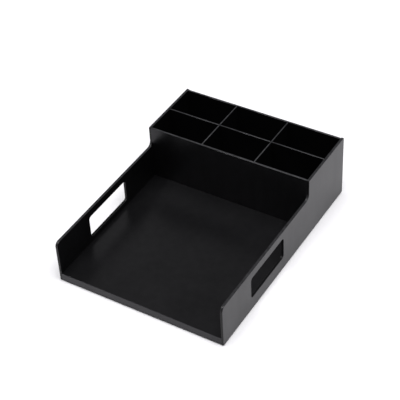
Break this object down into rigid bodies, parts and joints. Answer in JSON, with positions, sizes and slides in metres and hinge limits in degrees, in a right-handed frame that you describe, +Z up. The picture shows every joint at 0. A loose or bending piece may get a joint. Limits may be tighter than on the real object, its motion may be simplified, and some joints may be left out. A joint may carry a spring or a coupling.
{
  "type": "flatware caddy",
  "caption": "Open-front countertop caddy: a low tray with grip cut-outs in its stepped sides, and a taller holder behind it with lift-out dividers.",
  "frame": {"origin": "on the surface the caddy stands on, under the middle of its outside", "axes": "+X to the right seen from the open front, +Y from the open front to the back, +Z up"},
  "size_m": [0.286, 0.382, 0.111],
  "materials": {
    "panel": "satin black sheet with a fine grain",
    "divider": "satin black thin sheet",
    "foot": "matt black moulded rubber"
  },
  "bodies": {
    "caddy": {"left_side": "panel", "right_side": "panel", "floor_panel": "panel", "front_rail": "panel", "riser_panel": "panel", "back_panel": "panel", "foot_front_left": "foot", "foot_front_right": "foot", "foot_rear_left": "foot", "foot_rear_right": "foot"},
    "cross_divider": {"cross_divider": "divider"},
    "left_divider": {"left_divider": "divider"},
    "right_divider": {"right_divider": "divider"}
  },
  "joints": [
    {"name": "cross_divider_lift", "type": "slide", "parent": "caddy", "child": "cross_divider", "axis": [0, 0, 1], "range_m": [0, 0.11]},
    {"name": "left_divider_lift", "type": "slide", "parent": "cross_divider", "child": "left_divider", "axis": [0, 0, 1], "range_m": [0, 0.11]},
    {"name": "right_divider_lift", "type": "slide", "parent": "cross_divider", "child": "right_divider", "axis": [0, 0, 1], "range_m": [0, 0.11]}
  ]
}
